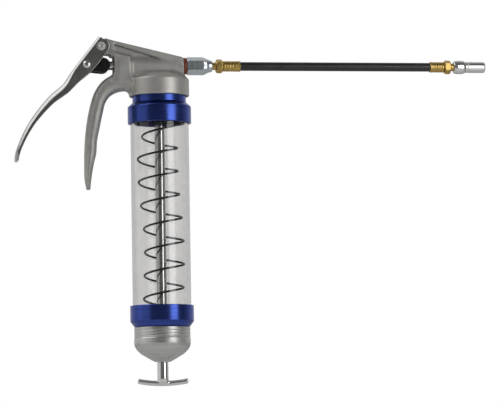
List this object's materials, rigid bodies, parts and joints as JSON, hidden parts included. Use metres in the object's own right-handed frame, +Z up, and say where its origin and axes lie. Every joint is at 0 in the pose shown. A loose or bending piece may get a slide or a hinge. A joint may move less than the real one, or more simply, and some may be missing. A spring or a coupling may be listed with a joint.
{
  "type": "grease gun",
  "caption": "Pistol-grip grease gun with a clear barrel, spring-fed follower on a T-handled rod, squeeze lever and a flexible delivery hose with coupler.",
  "frame": {"origin": "on the barrel's axis, at the middle of its visible tube, where a wall clip holds it", "axes": "+Z up along the barrel towards the head, +X towards the hose, lever on -X, Y across the tool"},
  "size_m": [0.5134, 0.068, 0.375],
  "materials": {
    "cast_aluminium": "die-cast grey aluminium with a fine cast grain, turned bright on the barrel skirt",
    "satin_steel": "pressed or turned steel with satin zinc plating",
    "black_steel": "blackened steel, slightly oily",
    "blue_anodised": "turned aluminium with deep blue anodising",
    "clear_acrylic": "clear extruded acrylic tube",
    "satin_aluminium": "turned aluminium, satin, with fine turning rings",
    "bright_chrome": "bright nickel or chrome plating",
    "brass": "turned yellow brass",
    "red_copper": "dull red-brown copper sealing washer",
    "black_rubber": "smooth black rubber"
  },
  "bodies": {
    "barrel": {"head_casting": "cast_aluminium", "hose_adaptor": "satin_steel", "follower_spring": "black_steel", "top_collar": "blue_anodised", "bottom_collar": "blue_anodised", "barrel_tube": "clear_acrylic", "lever_pivot_screw": "bright_chrome", "lever_pivot_nut": "bright_chrome", "plunger_return_spring": "bright_chrome", "check_valve_spring": "bright_chrome", "coupler_body": "bright_chrome", "coupler_sleeve": "bright_chrome", "coupler_spring": "bright_chrome", "plunger_guide": "brass", "check_valve_seat": "brass", "near_hose_fitting": "brass", "far_hose_fitting": "brass", "near_ferrule": "brass", "far_ferrule": "brass", "outlet_washer": "red_copper", "hose": "black_rubber", "head_gasket": "black_rubber", "top_tube_seal": "black_rubber", "bottom_tube_seal": "black_rubber", "plunger_packing": "black_rubber", "coupler_seal": "black_rubber"},
    "lever": {"lever_handle": "satin_steel", "link_rivet": "bright_chrome"},
    "link": {"toggle_link_left": "black_steel", "toggle_link_right": "black_steel"},
    "plunger": {"plunger": "bright_chrome", "plunger_pin": "black_steel"},
    "follower": {"follower_cup": "black_rubber", "follower_washer": "satin_aluminium"},
    "rod": {"follower_rod": "bright_chrome", "follower_nut": "bright_chrome", "t_handle": "bright_chrome"},
    "cap": {"end_cap": "satin_aluminium", "rod_bush": "brass"},
    "valve_ball": {"check_valve_ball": "bright_chrome"},
    "jaws": {"coupler_jaw_1": "bright_chrome", "coupler_jaw_2": "bright_chrome", "coupler_jaw_3": "bright_chrome"}
  },
  "joints": [
    {"name": "lever_squeeze", "type": "hinge", "parent": "barrel", "child": "lever", "pos_m": [-0.063, 0, 0.1796], "axis": [0, -1, 0], "range_deg": [0, 24], "stiffness_Nm_per_rad": 0.3, "springref_deg": -34.38},
    {"name": "link_swing", "type": "hinge", "parent": "lever", "child": "link", "pos_m": [-0.0784, 0, 0.1598], "axis": [0, -1, 0], "range_deg": [-9, 0]},
    {"name": "plunger_slide", "type": "slide", "parent": "barrel", "child": "plunger", "axis": [1, 0, 0], "range_m": [0, 0.0088], "deforming": ["plunger_return_spring"]},
    {"name": "follower_pull", "type": "slide", "parent": "barrel", "child": "follower", "axis": [0, 0, -1], "range_m": [0, 0.19], "stiffness_N_per_m": 200, "springref_m": -0.05, "deforming": ["follower_spring"]},
    {"name": "rod_turn", "type": "hinge", "parent": "follower", "child": "rod", "pos_m": [0, 0, 0], "axis": [0, 0, 1], "continuous": true},
    {"name": "cap_unscrew", "type": "hinge", "parent": "barrel", "child": "cap", "pos_m": [0, 0, 0], "axis": [0, 0, 1], "continuous": true},
    {"name": "ball_lift", "type": "slide", "parent": "barrel", "child": "valve_ball", "axis": [1, 0, 0], "range_m": [0, 0.0012], "stiffness_N_per_m": 150, "springref_m": -0.002, "deforming": ["check_valve_spring"]},
    {"name": "jaw_slide", "type": "slide", "parent": "barrel", "child": "jaws", "axis": [-1, 0, 0], "range_m": [0, 0.002], "stiffness_N_per_m": 300, "springref_m": -0.002}
  ],
  "couplings": [
    {"joint": "link_swing", "follows": "lever_squeeze", "ratio": -0.3667},
    {"joint": "plunger_slide", "follows": "lever_squeeze", "m_per_rad": 0.0209}
  ]
}
